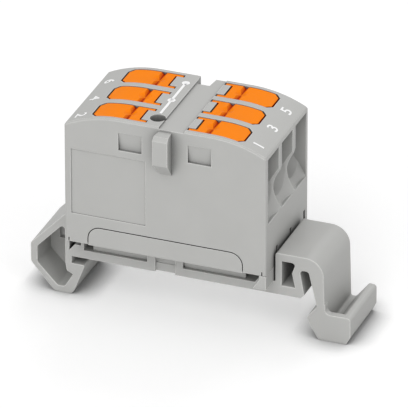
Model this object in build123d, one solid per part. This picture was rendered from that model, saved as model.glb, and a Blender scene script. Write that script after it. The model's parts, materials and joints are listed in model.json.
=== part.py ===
from build123d import *
import math
import os

# A push-in power distribution block for six conductors, on a foot that clips onto
# a 35 mm mounting rail. Sizes are millimetres. X runs across the rail, Y along it
# and Z up. The origin is the middle of the foot's face that sits on the rail.
# Distances called across are measured from the block's middle towards its ends.

# How far cutting shapes reach past a face, and joined shapes into each other
overcut = 1.0
overlap = 0.2

# Mounting rail that the foot is made for
rail_width = 35.0
rail_sheet = 1.0
rail_play = 0.1

# Outside of the terminal block
block_length = 28.7
block_height = 19.55
block_floor = 3.95
crown_flat = 13.0
crown_drop = 1.93
corner_round = 0.3
rim_bevel = 0.2
side_wall = 0.72

# Rows of terminals, one on each side
row_count = 3
row_pitch = 5.2

# Conductor entry
conductor_radius = 1.6
mouth_width = 4.16
mouth_rim = 0.45
mouth_drop = 3.2
mouth_knee = 2.9
mouth_lean = 0.9
pocket_depth = 3.0
funnel_radius = 3.8
funnel_throat = 2.4
funnel_depth = 1.17
end_wall_thickness = 0.9
sill_thickness = 0.95

# Release lever, its ears and its pivot pegs
lever_width = 3.95
lever_inner = 4.1
lever_inset = 3.7
lever_end_thickness = 1.3
lever_side_gap = 0.1
lever_end_gap = 0.25
lever_reveal = 0.06
lever_corner = 0.7
ear_tip = 3.05
ear_width = 0.5
ear_gap = 0.2
peg_radius = 0.4
peg_length = 0.3
peg_play = 0.05
pivot_inset = 0.45
pivot_drop = 0.95
press_angle = 9.0
press_clearance = 0.25
notch_place = 1.75
notch_width = 0.85
notch_depth = 0.35
dimple_radius = 0.95
dimple_depth = 0.35
nose_inset = 0.95
nose_thickness = 1.4
nose_width = 3.0
nose_bevel = 0.4
nose_clearance = 1.1

# Metal inside: the current bar, the clamp cages and the clamp springs
bar_level = 8.15
bar_thickness = 0.85
bar_end_lip = 1.7
spine_width = 6.6
neck_width = 2.1
tongue_width = 3.0
tongue_play = 0.3
metal_gap = 0.1
cage_sheet = 0.4
cage_width = 3.5
cage_place = 3.95
cage_height = 7.3
cage_hood = 2.65
spring_sheet = 0.35
spring_width = 2.9
spring_reach = 3.3
spring_tip_reach = 1.15
spring_bend = 0.5
chamber_play = 0.15
chamber_inset = 4.15

# Marks and forms on the outside of the housing
test_hole_radius = 1.07
test_hole_place = -1.9
test_hole_ahead = 0.3
band_start = -0.85
band_width = 3.65
band_depth = 0.26
coupling_place = 0.12
rib_reach = 2.1
rib_base = 1.7
rib_front = 2.15
rib_step = 0.25
rib_height = 4.1
rib_taper = 2.3
rib_bevel = 0.5
rib_play = 0.1
label_length = 10.6
label_height = 9.7
label_margin = 0.97
label_rise = 4.36
label_depth = 0.1
pocket_width = 3.3
pocket_height = 2.6
pocket_place = 4.93
pocket_below_top = 4.5
pocket_step = 0.45
pocket_recess = 0.4
pocket_edge = 0.05
slit_width = 0.18
slit_height = 0.6
slit_depth = 0.6
slit_inset = 0.57
catch_width = 0.7
catch_shift = 1.4
catch_height = 1.4
catch_depth = 0.3
catch_rise = 0.45

# Closing cover under the metal parts
cover_plate = 1.2
cover_gap = 0.1
cover_rib = 1.2
cover_step = 1.0

# Foot: boss in the block, bar on the rail, posts and shoulder between them
foot_depth = 10.3
boss_length = 22.0
boss_height = 2.8
boss_reveal = 0.1
boss_corner = 1.75
boss_gap = 0.08
seat_gap = 0.05
foot_bar = 1.2
web_depth = 6.8
web_start = 2.73
web_end_inset = 0.8
post_start = 1.13
post_width = 0.42
rib_posts = ((-3.7, -2.54), (0.33, 1.42))
recess_depth = 0.45
pad_step = 0.15
shoulder_length = 2.05
shoulder_slope = 1.1
shoulder_level = 1.9
cheek_length = 0.95
cheek_flare = 0.9
cheek_rise = 1.35
stand_level = -5.8

# Hook and spring loop at the left end of the foot
hook_gap = 0.5
jaw_inset = 0.3
ledge_level = 1.85
ledge_start = 0.5
ledge_dip = 0.9
hook_wall_sheet = 0.6
loop_reach = 5.6
loop_sheet = 0.95
loop_top = 6.45
loop_top_width = 0.4
loop_shoulder = 1.0
loop_elbow = -1.85
loop_toe = 2.5
loop_toe_inner = 2.05
loop_heel = 0.1
loop_heel_inner = 1.05
lip_length = 1.94
lip_root = 0.2
lip_root_level = -2.75
jaw_root = 0.7
jaw_root_level = -2.35
jaw_root_drop = 1.1
hook_web = 0.8
hook_web_gap = 2.3
hook_web_top = -0.2

# Latch at the right end of the foot
latch_run = 6.2
latch_gap = 0.3
latch_top = 6.2
latch_wall = 0.87
latch_sheet = 1.1
latch_bend = 2.6
latch_shoulder = 0.85
latch_arm = 1.15
latch_slot_top = 4.2
latch_slot_width = 1.3
latch_slot_side = 1.2
latch_nose_level = -2.6
latch_nose_reach = 1.4
latch_nose_top = -0.9
latch_chin = 0.95
latch_chin_level = -3.85
latch_heel = 0.3
latch_window_floor = 1.4
latch_window_foot = 3.1
latch_window_waist = 3.55
latch_window_waist_level = 3.5
latch_window_head = 3.0
latch_root = 1.8
latch_root_level = 0.5
latch_root_foot = 2.3
handle_reach = 4.75
handle_top = -1.8
handle_lip = 1.05
handle_bevel = 0.6
handle_bevel_height = 1.2
trough_floor = -4.1
trough_width = 0.75
trough_web = 1.0
trough_web_top = -0.4

# Levels and places that follow from the sizes above
block_top = block_floor + block_height
half_length = block_length / 2
rows = [(index - (row_count - 1) / 2) * row_pitch for index in range(row_count)]
half_depth = rows[-1] + mouth_width / 2 + side_wall
crown_run = half_length - crown_flat / 2
crown_radius = (crown_run ** 2 + crown_drop ** 2) / (2 * crown_drop)
lever_outer = half_length - lever_inset
nose_outer = lever_outer - nose_inset
nose_inner = nose_outer - nose_thickness
chamber_outer = half_length - chamber_inset
chamber_inner = cage_place - chamber_play
tongue_end = chamber_outer - tongue_play
bar_under = block_floor + bar_level
bar_top = bar_under + bar_thickness
wire_level = bar_top + metal_gap + conductor_radius
mouth_floor = wire_level - mouth_drop
cavity_top = mouth_floor - sill_thickness
well_width = lever_width + 2 * lever_side_gap
cavity_half_depth = rows[-1] + well_width / 2
pivot_place = ear_tip + pivot_inset
pivot_level = block_top - pivot_drop
band_level = block_top - band_depth
rib_top = band_level - rib_step
boss_bottom = block_floor - boss_reveal
boss_top = boss_bottom + boss_height
jaw_face = -(rail_width / 2 + rail_play)
latch_face = rail_width / 2 + rail_play / 2
block_end = latch_face - latch_run
block_offset = block_end - half_length
block_start = block_offset - half_length
hook_wall = min(jaw_face - jaw_inset, block_start - hook_gap)
latch_wall_face = block_end + latch_gap


def crown_level(across):
    """Height of the crowned top at a distance from the block's middle."""
    past_flat = max(0.0, abs(across) - crown_flat / 2)
    return block_top - crown_radius + math.sqrt(crown_radius ** 2 - past_flat ** 2)


lever_under = crown_level(lever_outer) - lever_end_thickness
nose_bottom = wire_level + conductor_radius + nose_clearance


def pressed_level(across, level):
    """Height that a point of the lever reaches when the lever is pushed home."""
    turn = math.radians(press_angle)
    reach = across - pivot_place
    rise = level - pivot_level
    return pivot_level - reach * math.sin(turn) + rise * math.cos(turn)


well_floor = pressed_level(lever_outer, lever_under) - press_clearance


def side_outline(corners):
    """A face in the XZ plane from rows of x, z and corner radius."""
    points = [(x, z) for x, z, radius in corners]
    radii = [radius for x, z, radius in corners]
    return Plane.XZ * make_face(FilletPolyline(*points, radius=radii, close=True).edges())


def slab(face, depth, middle=0.0):
    """An XZ face given a depth along Y, about the plane y = middle."""
    return Pos(0, middle, 0) * extrude(face, amount=depth / 2, both=True)


def block_box(x_range, y_range, z_range):
    """A box from its lowest and highest corners."""
    low = [min(pair) for pair in (x_range, y_range, z_range)]
    high = [max(pair) for pair in (x_range, y_range, z_range)]
    size = [b - a for a, b in zip(low, high)]
    return Pos(*low) * Box(*size, align=(Align.MIN, Align.MIN, Align.MIN))


def across_prism(points, x_range):
    """A shape with a YZ outline that runs along X between two places."""
    face = Plane.YZ * make_face(Polyline(*points, close=True).edges())
    return Pos(x_range[0], 0, 0) * extrude(face, amount=x_range[1] - x_range[0])


def pole(shape, side, row):
    """A shape drawn for the right-hand side, put at its side and row."""
    placed = shape if side > 0 else mirror(shape, about=Plane.YZ)
    return Pos(block_offset, row, 0) * placed


def crowned_face(low, inset):
    """Side view of the crowned top, lowered by inset and cut off at a level."""
    flat = crown_flat / 2
    middle = (flat + half_length) / 2
    top = block_top - inset
    end = crown_level(half_length) - inset
    bend = crown_level(middle) - inset
    outline = Polyline((-half_length, end), (-half_length, low), (half_length, low),
                       (half_length, end))
    outline += ThreePointArc((half_length, end), (middle, bend), (flat, top))
    outline += Line((flat, top), (-flat, top))
    outline += ThreePointArc((-flat, top), (-middle, bend), (-half_length, end))
    return Plane.XZ * make_face(outline.edges())


def block_blank():
    """The outside of the housing, with its softened corners and rim."""
    blank = slab(crowned_face(block_floor, 0.0), 2 * half_depth)
    blank = fillet(blank.edges().filter_by(Axis.Z), corner_round)
    rim = blank.edges().filter_by(
        lambda edge: edge.center().Z > crown_level(half_length) - rim_bevel
        and (abs(edge.center().Y) > half_depth - corner_round
             or abs(edge.center().X) > half_length - corner_round)
        and edge.bounding_box().size.Z < crown_drop + rim_bevel
    )
    return chamfer(rim, rim_bevel)


def pole_void():
    """Everything that one terminal leaves open in the housing, right-hand side."""
    over = block_top + overcut
    ceiling = crown_level(half_length) - mouth_rim
    back = half_length - pocket_depth
    mouth = slab(side_outline([
        (half_length + overcut, ceiling, 0),
        (back + mouth_lean, ceiling, 0),
        (back, wire_level + mouth_knee, 0),
        (back, wire_level, 0),
        (half_length + overcut, wire_level, 0),
    ]), mouth_width)
    bore_start = chamber_outer - tongue_play
    bore_end = back + metal_gap
    bore = Pos((bore_start + bore_end) / 2, 0, wire_level) * Rot(0, 90, 0) * Cylinder(
        conductor_radius, bore_end - bore_start)
    across = (-well_width / 2, well_width / 2)
    chamber = block_box((chamber_inner, chamber_outer), across, (bar_top, well_floor + overlap))
    start = lever_inner - lever_end_gap
    end = lever_outer + lever_end_gap
    well = block_box((start, end), across, (well_floor, over))
    well = chamfer(well.edges().filter_by(Axis.Z).sort_by(Axis.X)[-2:], lever_corner)
    void = mouth + bore + chamber + well
    for edge in (-1, 1):
        slot_inner = edge * (lever_width / 2 - ear_width - lever_side_gap)
        void += block_box(
            (ear_tip - ear_gap, lever_inner),
            (slot_inner, edge * well_width / 2),
            (pivot_level - pivot_inset - 2 * ear_gap - peg_radius, over),
        )
        reach = edge * (lever_width / 2 + peg_length + metal_gap)
        middle = (slot_inner + reach) / 2
        void += Pos(pivot_place, middle, pivot_level) * Rot(90, 0, 0) * Cylinder(
            peg_radius + peg_play, abs(reach - slot_inner))
    return void


def funnel_voids():
    """The round funnels that lead a conductor to its bore, merged with each other."""
    throat = half_length - funnel_depth
    back = half_length - pocket_depth
    cone = revolve(Plane.XZ * make_face(Polyline(
        (back, 0), (back, conductor_radius), (throat, funnel_throat),
        (half_length, funnel_radius), (half_length, 0), close=True).edges()), Axis.X)
    cone = Pos(0, 0, wire_level) * cone
    window = block_box(
        (half_length - pocket_depth - overcut, half_length + overcut),
        (rows[0] - mouth_width / 2, rows[-1] + mouth_width / 2),
        (mouth_floor, block_top),
    )
    voids = []
    for side in (-1, 1):
        funnels = [Pos(0, row, 0) * cone for row in rows]
        merged = funnels[0] + funnels[1:]
        voids.append(pole(merged & window, side, 0))
    return voids


def boss_outline(gap):
    """Side view of the foot's boss, grown by a gap all round."""
    half = boss_length / 2 + gap
    return side_outline([
        (block_offset - half, boss_bottom - gap, 0),
        (block_offset + half, boss_bottom - gap, 0),
        (block_offset + half, boss_top + gap, boss_corner + gap),
        (block_offset - half, boss_top + gap, boss_corner + gap),
    ])


def dovetail(root, reach, play, z_range):
    """An upright dovetail that stands out towards -Y from the plane y = root."""
    base = (rib_base + play) / 2
    front = (rib_front + play) / 2
    outline = Polyline((-base, root), (base, root), (front, root - reach),
                       (-front, root - reach), close=True)
    face = Pos(block_offset + coupling_place, 0, z_range[0]) * make_face(outline.edges())
    return extrude(face, amount=z_range[1] - z_range[0])


def coupling_rib():
    """The dovetail rib on the front face that slides into a neighbour's groove."""
    front_low = rib_top - rib_height
    low = front_low - rib_taper
    rib = dovetail(-half_depth + overlap, rib_reach + overlap, 0.0, (low, rib_top))
    rib = chamfer(rib.edges().group_by(Axis.Z)[-1].sort_by(Axis.Y)[0], rib_bevel)
    x_range = (block_offset - rib_front, block_offset + rib_front)
    underside = across_prism([
        (-half_depth, low - overcut),
        (-half_depth, low),
        (-half_depth - rib_reach, front_low),
        (-half_depth - rib_reach - overcut, front_low),
        (-half_depth - rib_reach - overcut, low - overcut),
    ], x_range)
    return rib - underside


def surface_cuts():
    """Recesses on the housing's outside: band, groove, pockets, label and slits."""
    over = block_top + overcut
    front = -half_depth - overcut
    start = block_offset + band_start
    groove_low = rib_top - rib_height - rib_taper
    label_start = block_start + label_margin
    label_low = block_floor + label_rise
    cuts = [
        block_box((start, start + band_width), (front, -front), (band_level, over)),
        dovetail(half_depth + rib_play - rib_reach, -rib_reach - rib_play, rib_play,
                 (groove_low, over)),
        block_box((label_start, label_start + label_length),
                  (front, -half_depth + label_depth),
                  (label_low, label_low + label_height)),
    ]
    pocket_low = block_top - pocket_below_top
    pocket_face = -half_depth + pocket_recess
    for side in (-1, 1):
        pocket_start = block_offset + side * pocket_place - pocket_width / 2
        cuts.append(across_prism([
            (front, pocket_low),
            (pocket_face, pocket_low),
            (pocket_face, pocket_low + pocket_step),
            (pocket_edge - half_depth, pocket_low + pocket_height),
            (front, pocket_low + pocket_height),
        ], (pocket_start, pocket_start + pocket_width)))
        slit_x = block_offset + side * (half_length - slit_inset)
        cuts.append(block_box(
            (slit_x - slit_width / 2, slit_x + slit_width / 2),
            (front, -half_depth + slit_depth),
            (block_floor - overcut, block_floor + slit_height)))
        face = block_offset + side * half_length
        catch_high = latch_top + catch_rise
        for row in rows:
            middle = row + catch_shift
            cuts.append(block_box(
                (face - side * catch_depth, face + side * overcut),
                (middle - catch_width / 2, middle + catch_width / 2),
                (catch_high - catch_height, catch_high)))
    return cuts


def housing():
    """The one-piece insulating housing, open underneath."""
    body = Pos(block_offset, 0, 0) * block_blank() + coupling_rib()
    cuts = surface_cuts() + funnel_voids()
    void = pole_void()
    for side in (-1, 1):
        for row in rows:
            cuts.append(pole(void, side, row))
    depth = (-cavity_half_depth, cavity_half_depth)
    cavity_end = half_length - end_wall_thickness
    cuts.append(block_box(
        (block_offset - cavity_end, block_offset + cavity_end),
        depth,
        (block_floor - overcut, cavity_top),
    ))
    cuts.append(block_box(
        (block_offset - chamber_outer, block_offset + chamber_outer),
        depth,
        (cavity_top - overcut, bar_top + metal_gap),
    ))
    cuts.append(slab(boss_outline(boss_gap), 2 * (half_depth + overcut)))
    hole = Cylinder(test_hole_radius, block_top - bar_top + overcut,
                    align=(Align.CENTER, Align.CENTER, Align.MAX))
    hole_middle = (block_offset + test_hole_place, rows[0] - test_hole_ahead)
    cuts.append(Pos(*hole_middle, block_top + overcut) * hole)
    return body - cuts


def lever():
    """A release lever for the right-hand side: plate, ears, nose and pegs."""
    high = block_top + overcut
    half_width = lever_width / 2
    root = lever_under + overlap
    plate = block_box((lever_inner, lever_outer), (-half_width, half_width), (lever_under, high))
    plate = chamfer(plate.edges().filter_by(Axis.Z).sort_by(Axis.X)[-2:], lever_corner)
    nose = slab(Plane.XZ * make_face(Polyline(
        (nose_inner, root),
        (nose_inner, nose_bottom + nose_bevel),
        (nose_inner + nose_bevel, nose_bottom),
        (nose_outer - nose_bevel, nose_bottom),
        (nose_outer, nose_bottom + nose_bevel),
        (nose_outer, root),
        close=True).edges()), nose_width)
    body = plate + nose
    ear_low = pivot_level - pivot_inset
    for edge in (-1, 1):
        ear_outer = edge * half_width
        ear = slab(side_outline([
            (ear_tip, ear_low, pivot_inset),
            (lever_inner + overlap, ear_low, 0),
            (lever_inner + overlap, high, 0),
            (ear_tip, high, 0),
        ]), ear_width, ear_outer - edge * ear_width / 2)
        peg = Pos(pivot_place, ear_outer + edge * peg_length / 2, pivot_level) * Rot(90, 0, 0)
        body += ear
        body += peg * Cylinder(peg_radius, peg_length)
    body &= slab(crowned_face(nose_bottom - overcut, lever_reveal), 2 * half_depth)
    notch_middle = lever_inner + notch_place
    top = crown_level(notch_middle) - lever_reveal
    over = notch_depth + overlap
    notch_half = notch_width / 2 * over / notch_depth
    notch = slab(Plane.XZ * make_face(Polyline(
        (notch_middle - notch_half, top + overlap),
        (notch_middle, top - notch_depth),
        (notch_middle + notch_half, top + overlap),
        close=True).edges()), 2 * half_depth)
    dimple = Cone(0, dimple_radius, dimple_depth, align=(Align.CENTER, Align.CENTER, Align.MAX))
    return body - notch - Pos(notch_middle, 0, top) * dimple


def clamp_spring():
    """A strip spring: one leg in the cage, the other slanting down to the bar."""
    back = cage_place + cage_sheet + metal_gap + spring_sheet / 2
    top = bar_top + cage_height - cage_sheet - metal_gap - spring_sheet / 2
    foot = bar_top + metal_gap
    path = Polyline(
        (back, foot),
        (back, top - spring_bend),
        (back + spring_bend, top),
        (back + spring_reach - spring_bend, top),
        (back + spring_reach, top - spring_bend),
        (back + spring_tip_reach, foot + spring_sheet / 2),
    )
    return slab(Plane.XZ * trace(path, spring_sheet), spring_width)


def clamp_cage():
    """A folded cage that stands astride the bar and holds the spring's back and top."""
    top = bar_top + cage_height
    foot = bar_under - cage_sheet
    fork_half = neck_width / 2 + metal_gap
    cage = slab(side_outline([
        (cage_place, foot, 0),
        (cage_place + cage_sheet, foot, 0),
        (cage_place + cage_sheet, top - cage_sheet, 0),
        (cage_place + cage_hood, top - cage_sheet, 0),
        (cage_place + cage_hood, top, 0),
        (cage_place, top, cage_sheet),
    ]), cage_width)
    fork = block_box(
        (cage_place - overcut, cage_place + cage_sheet + overcut),
        (-fork_half, fork_half),
        (foot - overcut, bar_top + metal_gap / 2),
    )
    return cage - fork


def current_bar():
    """The comb-shaped copper bar that joins all the terminals."""
    spine_depth = 2 * cavity_half_depth - 4 * metal_gap
    spine = Pos(0, 0, bar_under) * Box(
        spine_width, spine_depth, bar_thickness, align=(Align.CENTER, Align.CENTER, Align.MIN))
    neck_end = cage_place + cage_sheet + 2 * metal_gap
    half_neck = neck_width / 2
    neck = block_box((0, neck_end + overlap), (-half_neck, half_neck), (bar_under, bar_top))
    tongue = slab(side_outline([
        (neck_end, bar_under, 0),
        (neck_end, bar_top, 0),
        (tongue_end, bar_top, bar_thickness),
        (tongue_end, bar_top - bar_end_lip, 0),
        (tongue_end - bar_thickness, bar_top - bar_end_lip, 0),
        (tongue_end - bar_thickness, bar_under, 0),
    ]), tongue_width)
    arm = neck + tongue
    bar = Pos(block_offset, 0, 0) * spine
    for side in (-1, 1):
        for row in rows:
            bar += pole(arm, side, row)
    return bar


def base_cover():
    """The cover that closes the housing from below and carries the bar on ribs."""
    low = boss_top + 2 * boss_gap
    half = half_length - end_wall_thickness - cover_gap
    half_y = cavity_half_depth - cover_gap
    plate = block_box((-half, half), (-half_y, half_y), (low, low + cover_plate))
    inner = tongue_end - bar_thickness - metal_gap
    outer = half - cover_step
    shoulder = cavity_top - cover_gap - cover_step
    rib_face = side_outline([
        (-outer, low, 0), (outer, low, 0),
        (outer, shoulder, 0), (inner, shoulder, 0),
        (inner, bar_under, 0), (-inner, bar_under, 0),
        (-inner, shoulder, 0), (-outer, shoulder, 0),
    ])
    cover = plate
    for row in rows:
        cover += slab(rib_face, cover_rib, row)
    for side in (-1, 1):
        across = side * (neck_width + cage_place + cage_sheet)
        cover += block_box(
            (across - cover_rib / 2, across + cover_rib / 2), (-half_y, half_y), (low, bar_under))
    return Pos(block_offset, 0, 0) * cover


def rail_hook():
    """Left end of the foot: the jaw round the rail's edge and its spring loop."""
    ledge_end = block_start + post_start
    loop_left = hook_wall - loop_reach
    crest = hook_wall - loop_top_width
    under_rail = -rail_sheet - rail_play
    outer = side_outline([
        (jaw_face, 0.0, 0),
        (ledge_end + overlap, 0.0, 0),
        (ledge_end + overlap, ledge_level, 0),
        (jaw_face + ledge_start, ledge_level, 0),
        (hook_wall, ledge_dip, 0),
        (hook_wall, loop_top, 0.15),
        (crest, loop_top, 0.15),
        (loop_left, loop_shoulder, 0.6),
        (loop_left, loop_elbow, 1.0),
        (jaw_face - loop_toe, stand_level, 1.2),
        (jaw_face + loop_heel, stand_level, 1.0),
        (jaw_face + lip_length, under_rail, 0.25),
        (jaw_face, under_rail, 0),
    ])
    wall = hook_wall - hook_wall_sheet
    slope = (loop_top - loop_shoulder) / (crest - loop_left)
    sheet_height = loop_sheet * math.hypot(1.0, slope)
    inner_left = loop_left + loop_sheet
    inner_low = stand_level + loop_sheet
    window = side_outline([
        (wall, loop_shoulder + slope * (wall - loop_left) - sheet_height, 0.4),
        (inner_left, loop_shoulder + slope * loop_sheet - sheet_height, 0.4),
        (inner_left, loop_elbow, 0.6),
        (jaw_face - loop_toe_inner, inner_low, 0.5),
        (jaw_face - loop_heel_inner, inner_low, 0.5),
        (jaw_face + lip_root, lip_root_level, 0.15),
        (jaw_face - jaw_root, jaw_root_level, 0.35),
        (wall, -jaw_root_drop, 0.4),
    ])
    corner = block_box(
        (loop_left + hook_web_gap, hook_wall), (-foot_depth, foot_depth),
        (hook_web_top, loop_top))
    web = slab(window, hook_web) - corner
    return slab(outer, foot_depth) - slab(window, 2 * foot_depth) + web


def rail_latch():
    """Right end of the foot: the springy latch arm with its screwdriver trough."""
    arm_face = latch_face + latch_arm
    handle_end = latch_face + handle_reach
    outer = side_outline([
        (latch_wall_face, 0.0, 0),
        (latch_wall_face, latch_top, 0.3),
        (latch_face + latch_shoulder, latch_top, latch_bend),
        (arm_face, trough_floor, 0.3),
        (arm_face + trough_width, trough_floor, 0.35),
        (handle_end - handle_lip, handle_top, 0.4),
        (handle_end, handle_top, 0.5),
        (handle_end, stand_level + handle_bevel_height, 0.3),
        (handle_end - handle_bevel, stand_level, 0.3),
        (latch_face + latch_heel, stand_level, 0.4),
        (latch_face - latch_chin, latch_chin_level, 0.7),
        (latch_face - latch_nose_reach, latch_nose_level, 0.25),
        (latch_face, latch_nose_top, 0),
        (latch_face - latch_slot_side, latch_slot_top, 0.5),
        (latch_face - latch_slot_side - latch_slot_width, latch_slot_top, 0.5),
        (latch_face - latch_root, latch_root_level, 0.3),
        (latch_face - latch_root_foot, 0.0, 0.2),
    ])
    wall = latch_wall_face + latch_wall
    ceiling = latch_top - latch_sheet
    window = side_outline([
        (wall, ceiling, 0),
        (wall, latch_window_floor, 0),
        (latch_face - latch_window_foot, latch_window_floor, 0),
        (latch_face - latch_window_waist, latch_window_waist_level, 0.6),
        (latch_face - latch_window_head, ceiling, 0.4),
    ])
    inside = arm_face - trough_web / 2
    web_low = trough_floor - handle_bevel
    web_end = handle_end - handle_bevel
    web = side_outline([
        (inside, trough_web_top, 0),
        (arm_face, trough_web_top, 0),
        (arm_face, handle_top, 0.7),
        (web_end, handle_top, 0),
        (web_end, web_low, 0),
        (inside, web_low, 0),
    ])
    web_middle = -(foot_depth - trough_web) / 2
    return (slab(outer, foot_depth) - slab(window, 2 * foot_depth)
            + slab(web, trough_web, web_middle))


def rail_foot():
    """The one-piece foot: boss, webs and rail bar between the hook and the latch."""
    half = foot_depth / 2
    seat = block_floor - seat_gap
    boss_end = block_offset + boss_length / 2
    in_boss = boss_bottom + overlap
    in_bar = foot_bar / 2
    boss = slab(boss_outline(0.0), 2 * half_depth)
    bar = block_box((jaw_face + overcut, latch_wall_face + overlap), (-half, half), (0.0, foot_bar))
    web = block_box(
        (block_start + web_start, boss_end - web_end_inset),
        (-web_depth / 2, web_depth / 2),
        (in_bar, in_boss))
    foot = rail_hook() + rail_latch() + bar + web + boss
    for start, end in rib_posts:
        foot += block_box(
            (block_offset + start, block_offset + end), (-half, half), (in_bar, in_boss))
    post = block_start + post_start
    foot += block_box((post, post + post_width), (-half, half), (in_bar, seat))
    shoulder_start = block_end - shoulder_length
    in_latch = latch_wall_face + overlap
    foot += slab(side_outline([
        (shoulder_start - shoulder_slope, in_bar, 0),
        (shoulder_start, shoulder_level, 0),
        (shoulder_start, seat, 0),
        (block_end, seat, 0),
        (block_end, shoulder_level, 0),
        (in_latch, shoulder_level, 0),
        (in_latch, in_bar, 0),
    ]), foot_depth)
    cheek = block_end - cheek_length
    foot += slab(side_outline([
        (cheek, seat, 0),
        (cheek, shoulder_level + cheek_rise, 0),
        (cheek - cheek_flare, shoulder_level, 0),
        (block_end, shoulder_level, 0),
        (block_end, seat, 0),
    ]), 2 * half_depth)
    recess = (block_offset + rib_posts[0][1], block_offset + rib_posts[1][0])
    pad = half - recess_depth - pad_step
    foot += block_box(recess, (-pad, pad), (in_bar, in_boss))
    for edge in (-1, 1):
        foot -= block_box(
            recess, (edge * (half + overcut), edge * (half - recess_depth)),
            (-overcut, foot_bar + overlap))
    return foot


def write(name, shape):
    """Write one piece as its own file."""
    export_step(shape, "parts/" + name + ".step")


def main():
    os.makedirs("parts", exist_ok=True)
    write("housing", housing())
    write("base_cover", base_cover())
    write("current_bar", current_bar())
    write("rail_foot", rail_foot())
    pieces = {
        "release_lever": lever(),
        "clamp_spring": clamp_spring(),
        "clamp_cage": clamp_cage(),
    }
    for index, row in enumerate(rows):
        for side, number in ((1, 2 * index + 1), (-1, 2 * index + 2)):
            for name, shape in pieces.items():
                write(f"{name}_{number}", pole(shape, side, row))


main()
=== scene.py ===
import bpy
import bmesh
import json
import math
from mathutils import Matrix, Vector
from mathutils.bvhtree import BVHTree


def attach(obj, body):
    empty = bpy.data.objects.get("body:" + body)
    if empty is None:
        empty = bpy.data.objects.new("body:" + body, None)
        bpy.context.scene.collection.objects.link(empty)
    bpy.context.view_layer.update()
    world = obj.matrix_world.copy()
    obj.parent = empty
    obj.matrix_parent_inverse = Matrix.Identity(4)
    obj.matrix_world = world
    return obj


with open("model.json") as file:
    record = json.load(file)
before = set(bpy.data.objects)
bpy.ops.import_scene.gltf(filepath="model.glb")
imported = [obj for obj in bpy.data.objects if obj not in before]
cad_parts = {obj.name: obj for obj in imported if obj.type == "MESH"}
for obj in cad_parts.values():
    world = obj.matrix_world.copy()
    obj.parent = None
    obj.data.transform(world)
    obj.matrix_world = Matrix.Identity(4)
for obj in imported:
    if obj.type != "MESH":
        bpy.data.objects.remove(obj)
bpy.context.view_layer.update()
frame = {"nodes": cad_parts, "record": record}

# Looks of a six-pole power distribution block: materials, printed marks, lamps, floor and camera.
# Lengths are in millimetres of the row frame, and MM turns them into the scene's metres.
MM = 0.001


def grey(level):
    """An even grey."""
    return (level, level, level)


# Camera: the eye, the point looked at, the turn about the line of sight and the lens
EYE = (325.393, -847.052, 497.583)
AIM = (0.294, -2.052, 9.818)
ROLL_DEGREES = -0.063
LENS = 680.283
SENSOR = 36.0
CLIP_START = 100.0
CLIP_END = 20000.0

# Where the block's middle is, and how far apart its rows of levers are
BLOCK_MIDDLE = -3.0
ROW_PITCH = 5.2

# Printed numbers, one outside each lever: how far from the middle, how far ahead of the row on
# the right and on the left, the height, how much wider and bolder than the font has them, and
# the strips that they are cut into so that they can follow the curved top
NUMBER_ACROSS = 12.55
NUMBER_AHEAD = {1: 0.8, -1: 1.15}
NUMBER_HEIGHT = 1.5
NUMBER_WIDEN = 1.25
NUMBER_BOLDEN = 0.02
NUMBER_CUTS = 8

# Printed line with two dots, beside the test hole
BRIDGE_X = -5.05
BRIDGE_ENDS = (-4.2, 5.15)
BRIDGE_DOTS = (-0.15, 5.15)
BRIDGE_WIDTH = 0.38
DOT_RADIUS = 0.55
DOT_SIDES = 32

# How the ink is laid: dropped from well above the housing, to just off its surface
DROP_HEIGHT = 1000.0
INK_LIFT = 0.015

# Plain panels behind the two windows of the front strip, and their depth from front to back
BACKING_SPANS = {"left": (-14.62, -6.7), "right": (-1.6, 7.2)}
BACKING_LEVELS = (1.2, 3.8)
BACKING_Y = (-4.6, -4.2)

# The painted shadow in the seam between the foot's boss and the housing: a dark arch with two
# round corners, drawn as a ribbon just in front of the housing's face
SEAM_SPAN = (-14.04, 8.04)
SEAM_LEVELS = (4.2, 6.69)
SEAM_CORNER = 1.79
SEAM_WIDTH = 0.13
SEAM_Y = -8.01
SEAM_STEPS = 12

# The clouds vary the colour, and the roughness by SHEEN_SPREAD; the grain is a finer noise
# that bumps the surface by GRAIN_DEPTH
CLOUD_SCALE = 180.0
CLOUD_DETAIL = 4.0
CLOUD_ENDS = (0.3, 0.7)
SHEEN_SPREAD = 0.05
GRAIN_DETAIL = 3.0
GRAIN_DEPTH = 0.02

# Cosines of the angle between the plain and the softened normal: at a full painted rim highlight,
# and at none
RIM_HIGHLIGHT_TURNS = (0.85, 0.998)
RIM_SAMPLES = 8

# Painted shade in each kind of crevice: its reach, the shares of open air at which it is darkest
# and gone, its shade
HOUSING_PAINTED_SHADE = ((0.15, (0.3, 0.85), grey(0.05)), (2.5, (0.3, 0.93), grey(0.33)))
FOOT_PAINTED_SHADE = ((0.35, (0.2, 0.7), grey(0.1)), (3.0, (0.0, 0.5), grey(0.4)))
ORANGE_PAINTED_SHADE = ((1.2, (0.6, 0.99), (0.4, 0.03, 0.02)),)
CREVICE_SAMPLES = 8
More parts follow.
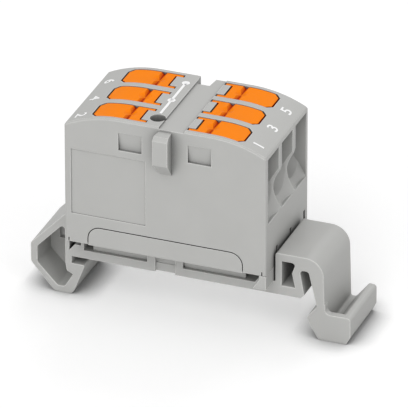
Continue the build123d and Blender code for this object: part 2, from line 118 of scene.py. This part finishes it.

# Each look: how far the colour strays, the roughness, the grain's scale and strength, the
# edge's softness, and where they differ from the usual the gloss, the painted rim highlight and
# the painted crevice shade
GREY_LOOK = {
    "colour": (0.44, 0.44, 0.427), "variation": 0.02, "roughness": 0.5,
    "grain": 2600.0, "relief": 0.25, "edge": 0.25, "rim_highlight": 1.6}
ORANGE_LOOK = {
    "colour": (0.96, 0.24, 0.002), "variation": 0.03, "roughness": 0.45,
    "grain": 2600.0, "relief": 0.2, "edge": 0.12, "gloss": 0.04, "painted_shade": ORANGE_PAINTED_SHADE}
METAL_LOOK = {
    "colour": grey(0.6), "variation": 0.05, "roughness": 0.4,
    "grain": 2600.0, "relief": 0.2, "edge": 0.05}
INK_LOOK = {
    "colour": grey(0.93), "variation": 0.02, "roughness": 0.6,
    "grain": 3000.0, "relief": 0.1, "edge": 0.02, "gloss": 0.2}
# Painted shadow: the near black of the seam ribbon
SEAM_SHADOW_LOOK = {
    "colour": grey(0.03), "variation": 0.1, "roughness": 0.9,
    "grain": 3000.0, "relief": 0.1, "edge": 0.02, "gloss": 0.0}

# Surround: its strength as a light, and where it is seen or mirrored
WHITE = (1, 1, 1, 1)
WORLD_LIGHT = 0.62
WORLD_SEEN = 1.0

# Floor: its colour in the open and in the painted shadow close to the object, how far that
# painted shadow reaches, the shares of open air at which it is darkest and gone, and a glow in
# the open for the camera
FLOOR_LEVEL = -5.8
FLOOR_SIZE = 6000.0
FLOOR_OPEN = (*grey(0.8), 1)
FLOOR_SHADOW_COLOUR = (*grey(0.45), 1)
FLOOR_SHADOW_REACH = 4.0
FLOOR_SHUT = (0.45, 0.97)
FLOOR_SAMPLES = 16
FLOOR_GLOW = 0.27

# Lamps, all aimed at the origin: name, place, size and power in watts
LAMPS = (
    ("key", (-100, -640, 700), 500, 2.5),
    ("front", (60, -760, 150), 400, 0.9),
    ("fill", (500, -300, 400), 400, 0.6),
    ("back", (0, 500, 500), 400, 0.8),
)


def blank_tree(owner):
    """The emptied node tree of a material or a world."""
    owner.use_nodes = True
    owner.node_tree.nodes.clear()
    return owner.node_tree


def feed(tree, entry, value):
    """Sets a node's input to a value, or links it to the socket given."""
    if isinstance(value, bpy.types.NodeSocket):
        tree.links.new(value, entry)
    else:
        entry.default_value = value


def added(tree, kind, inputs, **settings):
    """A new node with its settings made and its inputs fed, by their names or numbers."""
    node = tree.nodes.new(f"ShaderNode{kind}")
    for name, value in settings.items():
        setattr(node, name, value)
    for entry, value in inputs.items():
        feed(tree, node.inputs[entry], value)
    return node


def mixed(tree, kind, factor, first, second):
    """A colour mix; the factor and both colours are values or sockets."""
    mix = added(tree, "Mix", {}, data_type="RGBA", blend_type=kind)
    for name, value in (("Factor", factor), ("A", first), ("B", second)):
        entry = next(i for i in mix.inputs if i.enabled and i.name == name)
        feed(tree, entry, value)
    return next(o for o in mix.outputs if o.enabled)


def stretched(tree, socket, ends, results):
    """A socket's value, carried from one pair of ends to another."""
    inputs = {
        "Value": socket, "From Min": ends[0], "From Max": ends[1],
        "To Min": results[0], "To Max": results[1]}
    return added(tree, "MapRange", inputs).outputs["Result"]


def openness(tree, reach, samples):
    """The share of open air within reach: 1 on a bare face, less in a corner or a gap."""
    inputs = {"Distance": reach * MM}
    return added(tree, "AmbientOcclusion", inputs, samples=samples).outputs["AO"]


def moulded(name, colour, variation, roughness, grain, relief, edge,
            gloss=0.5, rim_highlight=1.0, painted_shade=()):
    """A cloudy colour with painted rim highlights, painted shade in crevices, an uneven sheen and
    a fine grain.
    """
    material = bpy.data.materials.new(name)
    tree = blank_tree(material)
    place = added(tree, "TexCoord", {}).outputs["Object"]
    cloud = added(tree, "TexNoise", {
        "Vector": place, "Scale": CLOUD_SCALE, "Detail": CLOUD_DETAIL}).outputs["Fac"]
    dim = [c * (1 - variation) for c in colour] + [1]
    lit = [c * (1 + variation) for c in colour] + [1]
    paint = mixed(tree, "MIX", stretched(tree, cloud, CLOUD_ENDS, (0, 1)), dim, lit)

    soft = added(tree, "Bevel", {"Radius": edge * MM}, samples=RIM_SAMPLES).outputs["Normal"]
    plain = added(tree, "NewGeometry", {}).outputs["Normal"]
    # Painted highlight: where the softened normal turns away from the plain one, at rounded
    # edges, the colour is lightened by the rim factor
    turn = added(tree, "VectorMath", {0: soft, 1: plain}, operation="DOT_PRODUCT")
    rim_highlight_share = stretched(tree, turn.outputs["Value"], RIM_HIGHLIGHT_TURNS, (1, 0))
    paint = mixed(tree, "MULTIPLY", rim_highlight_share, paint, (*grey(rim_highlight), 1))
    # Painted shade: the colour darkens towards each shade where little open air is within reach,
    # in corners, gaps and hollows
    for reach, shut, shade in painted_shade:
        shade_share = stretched(tree, openness(tree, reach, CREVICE_SAMPLES), shut, (1, 0))
        paint = mixed(tree, "MULTIPLY", shade_share, paint, (*shade, 1))

    sheen_ends = (roughness - SHEEN_SPREAD, roughness + SHEEN_SPREAD)
    sheen = stretched(tree, cloud, CLOUD_ENDS, sheen_ends)
    fine = added(tree, "TexNoise", {"Vector": place, "Scale": grain, "Detail": GRAIN_DETAIL})
    bump = added(tree, "Bump", {
        "Strength": relief, "Distance": GRAIN_DEPTH * MM,
        "Height": fine.outputs["Fac"], "Normal": soft})
    shader = added(tree, "BsdfPrincipled", {
        "Base Color": paint, "Specular IOR Level": gloss,
        "Roughness": sheen, "Normal": bump.outputs["Normal"]})
    added(tree, "OutputMaterial", {"Surface": shader.outputs["BSDF"]})
    return material


def add_piece(name, form, material):
    """Makes a form into a piece that rides on the block."""
    mesh = bpy.data.meshes.new(name)
    form.to_mesh(mesh)
    form.free()
    mesh.materials.append(material)
    piece = bpy.data.objects.new(name, mesh)
    bpy.context.collection.objects.link(piece)
    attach(piece, "block")


def ground_of(node):
    """A search tree over a CAD node's faces, for laying ink on its top."""
    corners = [node.matrix_world @ v.co for v in node.data.vertices]
    return BVHTree.FromPolygons(corners, [p.vertices for p in node.data.polygons])


def lay(form, ground):
    """Drops every corner of a flat form onto the surface below it, and faces it upward."""
    up = Vector((0, 0, 1))
    for v in form.verts:
        start = Vector((v.co.x, v.co.y, DROP_HEIGHT * MM))
        hit = ground.ray_cast(start, -up)[0]
        v.co = hit + up * INK_LIFT * MM
    for face in form.faces:
        face.normal_update()
        if face.normal.z < 0:
            face.normal_flip()


def written(text):
    """Flat text as a form in the XY plane, at whatever size the font gives."""
    curve = bpy.data.curves.new("number", "FONT")
    curve.body = text
    curve.align_x = "CENTER"
    curve.align_y = "CENTER"
    curve.offset = NUMBER_BOLDEN
    writing = bpy.data.objects.new("number", curve)
    bpy.context.collection.objects.link(writing)
    depsgraph = bpy.context.evaluated_depsgraph_get()
    mesh = bpy.data.meshes.new_from_object(writing.evaluated_get(depsgraph))
    bpy.data.objects.remove(writing)
    form = bmesh.new()
    form.from_mesh(mesh)
    return form


def number_form(text, side, row):
    """A flat number, with its top turned to the block's middle and cut so that it can bend."""
    form = written(text)
    left = min(v.co.x for v in form.verts)
    right = max(v.co.x for v in form.verts)
    low = min(v.co.y for v in form.verts)
    high = max(v.co.y for v in form.verts)
    scale = NUMBER_HEIGHT / (high - low) * MM
    place = Vector((BLOCK_MIDDLE + side * NUMBER_ACROSS, row - NUMBER_AHEAD[side], 0)) * MM
    for v in form.verts:
        along = (v.co.x - (left + right) / 2) * scale * NUMBER_WIDEN
        up = (v.co.y - (low + high) / 2) * scale
        v.co = place + Vector((-side * up, side * along, 0))
    for cut in range(1, NUMBER_CUTS):
        from_middle = cut / NUMBER_CUTS - 0.5
        spot = place + Vector((from_middle * NUMBER_HEIGHT * MM, 0, 0))
        bmesh.ops.bisect_plane(
            form, geom=form.verts[:] + form.edges[:] + form.faces[:],
            plane_co=spot, plane_no=(1, 0, 0))
    return form


def bridge_form():
    """The flat line with two dots that marks the joined poles."""
    form = bmesh.new()
    left = BRIDGE_X - BRIDGE_WIDTH / 2
    right = BRIDGE_X + BRIDGE_WIDTH / 2
    front, back = BRIDGE_ENDS
    corners = [(left, front, 0), (right, front, 0), (right, back, 0), (left, back, 0)]
    form.faces.new([form.verts.new(Vector(c) * MM) for c in corners])
    for y in BRIDGE_DOTS:
        spot = Matrix.Translation(Vector((BRIDGE_X, y, 0)) * MM)
        bmesh.ops.create_circle(
            form, cap_ends=True, radius=DOT_RADIUS * MM, segments=DOT_SIDES, matrix=spot)
    return form


def add_ink_marks(ground, material):
    """The white marks on the housing's top; odd numbers are on the right, from the front."""
    forms = {"bridge_mark": bridge_form()}
    for row in (-1, 0, 1):
        for side in (1, -1):
            number = 2 * (row + 1) + (1 if side > 0 else 2)
            forms[f"number_{number}"] = number_form(str(number), side, row * ROW_PITCH)
    for name, form in forms.items():
        lay(form, ground)
        add_piece(name, form, material)


def add_backing(name, span, material):
    """A plain panel behind one window of the front strip."""
    low = Vector((span[0], BACKING_Y[0], BACKING_LEVELS[0])) * MM
    high = Vector((span[1], BACKING_Y[1], BACKING_LEVELS[1])) * MM
    spot = Matrix.Translation((low + high) / 2) @ Matrix.Diagonal((*(high - low), 1))
    form = bmesh.new()
    bmesh.ops.create_cube(form, size=1.0, matrix=spot)
    add_piece(name, form, material)


def seam_path():
    """The seam's points as (x, z), from left to right, each with its outward direction."""
    left, right = SEAM_SPAN
    low, high = SEAM_LEVELS
    path = [((left, low), (-1, 0))]
    for middle, start in ((left + SEAM_CORNER, math.pi), (right - SEAM_CORNER, math.pi / 2)):
        for step in range(SEAM_STEPS + 1):
            angle = start - step / SEAM_STEPS * math.pi / 2
            out = (math.cos(angle), math.sin(angle))
            x = middle + SEAM_CORNER * out[0]
            z = high - SEAM_CORNER + SEAM_CORNER * out[1]
            path.append(((x, z), out))
    path.append(((right, low), (1, 0)))
    return path


def add_seam(material):
    """A dark ribbon of painted shadow along the gap round the foot's boss."""
    path = seam_path()
    form = bmesh.new()
    rails = []
    for half in (-SEAM_WIDTH / 2, SEAM_WIDTH / 2):
        rails.append([
            form.verts.new(Vector((x + half * out[0], SEAM_Y, z + half * out[1])) * MM)
            for (x, z), out in path])
    inner, outer = rails
    for i in range(len(path) - 1):
        form.faces.new((inner[i], inner[i + 1], outer[i + 1], outer[i]))
    bmesh.ops.recalc_face_normals(form, faces=form.faces)
    add_piece("boss_seam_shadow", form, material)


def set_world():
    """A white surround, weaker as a light than where it is seen or mirrored."""
    world = bpy.data.worlds.new("studio")
    bpy.context.scene.world = world
    tree = blank_tree(world)
    light = added(tree, "Background", {"Color": WHITE, "Strength": WORLD_LIGHT})
    seen = added(tree, "Background", {"Color": WHITE, "Strength": WORLD_SEEN})
    rays = added(tree, "LightPath", {}).outputs
    direct = added(tree, "Math", {
        0: rays["Is Camera Ray"], 1: rays["Is Transmission Ray"]}, operation="MAXIMUM")
    either = added(tree, "Math", {
        0: direct.outputs[0], 1: rays["Is Glossy Ray"]}, operation="MAXIMUM")
    mix = added(tree, "MixShader", {
        "Fac": either.outputs[0], 1: light.outputs[0], 2: seen.outputs[0]})
    added(tree, "OutputWorld", {"Surface": mix.outputs[0]})


def floor_material():
    """Matt white with a glow that only the camera sees, both darkened close to the object as a
    painted shadow.
    """
    material = bpy.data.materials.new("floor_white")
    tree = blank_tree(material)
    # Painted shadow: the floor's colour and glow fall off where little open air is within reach
    clear = stretched(tree, openness(tree, FLOOR_SHADOW_REACH, FLOOR_SAMPLES), FLOOR_SHUT, (0, 1))
    colour = mixed(tree, "MIX", clear, FLOOR_SHADOW_COLOUR, FLOOR_OPEN)
    matt = added(tree, "BsdfDiffuse", {"Color": colour})
    camera_ray = added(tree, "LightPath", {}).outputs["Is Camera Ray"]
    lift = stretched(tree, clear, (0, 1), (0, FLOOR_GLOW))
    strength = added(tree, "Math", {0: camera_ray, 1: lift}, operation="MULTIPLY")
    glow = added(tree, "Emission", {"Strength": strength.outputs[0]})
    both = added(tree, "AddShader", {0: matt.outputs[0], 1: glow.outputs[0]})
    added(tree, "OutputMaterial", {"Surface": both.outputs[0]})
    return material


def add_floor():
    """A plain square floor under the object."""
    half = FLOOR_SIZE / 2 * MM
    mesh = bpy.data.meshes.new("floor")
    corners = [(-half, -half, 0), (half, -half, 0), (half, half, 0), (-half, half, 0)]
    mesh.from_pydata(corners, [], [(0, 1, 2, 3)])
    mesh.materials.append(floor_material())
    floor = bpy.data.objects.new("floor", mesh)
    floor.location.z = FLOOR_LEVEL * MM
    bpy.context.collection.objects.link(floor)


def add_lamps():
    """Large soft lamps, all aimed at the origin."""
    for name, place, size, power in LAMPS:
        lamp = bpy.data.lights.new(name, "AREA")
        lamp.size = size * MM
        lamp.energy = power
        item = bpy.data.objects.new(name, lamp)
        item.location = Vector(place) * MM
        item.rotation_mode = "QUATERNION"
        item.rotation_quaternion = (-item.location).to_track_quat("-Z", "Y")
        bpy.context.collection.objects.link(item)


def add_camera():
    """The camera of the photo, from far away through a long lens."""
    data = bpy.data.cameras.new("camera")
    data.lens = LENS
    data.sensor_width = SENSOR
    data.clip_start = CLIP_START * MM
    data.clip_end = CLIP_END * MM
    camera = bpy.data.objects.new("camera", data)
    back = (Vector(EYE) - Vector(AIM)).normalized()
    turn = back.to_track_quat("Z", "Y").to_matrix().to_4x4()
    roll = Matrix.Rotation(math.radians(ROLL_DEGREES), 4, "Z")
    camera.matrix_world = Matrix.Translation(Vector(EYE) * MM) @ turn @ roll
    bpy.context.collection.objects.link(camera)
    bpy.context.scene.camera = camera


foot_finish = moulded("grey_polyamide_foot", painted_shade=FOOT_PAINTED_SHADE, **GREY_LOOK)
finishes = {
    "grey_plastic": moulded("grey_polyamide", painted_shade=HOUSING_PAINTED_SHADE, **GREY_LOOK),
    "foot_plastic": foot_finish,
    "orange_plastic": moulded("orange_polyamide", **ORANGE_LOOK),
    "copper": moulded("tinned_copper", **METAL_LOOK),
    "spring_steel": moulded("spring_steel", **METAL_LOOK),
    "cage_steel": moulded("cage_steel", **METAL_LOOK),
}
for part in frame["record"]["subparts"]:
    node = frame["nodes"][part["node"]]
    node.data.materials.clear()
    node.data.materials.append(finishes[part["material_slot"]])

add_ink_marks(ground_of(frame["nodes"]["housing"]), moulded("white_ink", **INK_LOOK))
add_seam(moulded("seam_shadow", **SEAM_SHADOW_LOOK))
for end, span in BACKING_SPANS.items():
    add_backing(f"window_backing_{end}", span, foot_finish)

set_world()
add_floor()
add_lamps()
add_camera()
bpy.context.scene.view_settings.view_transform = "Standard"
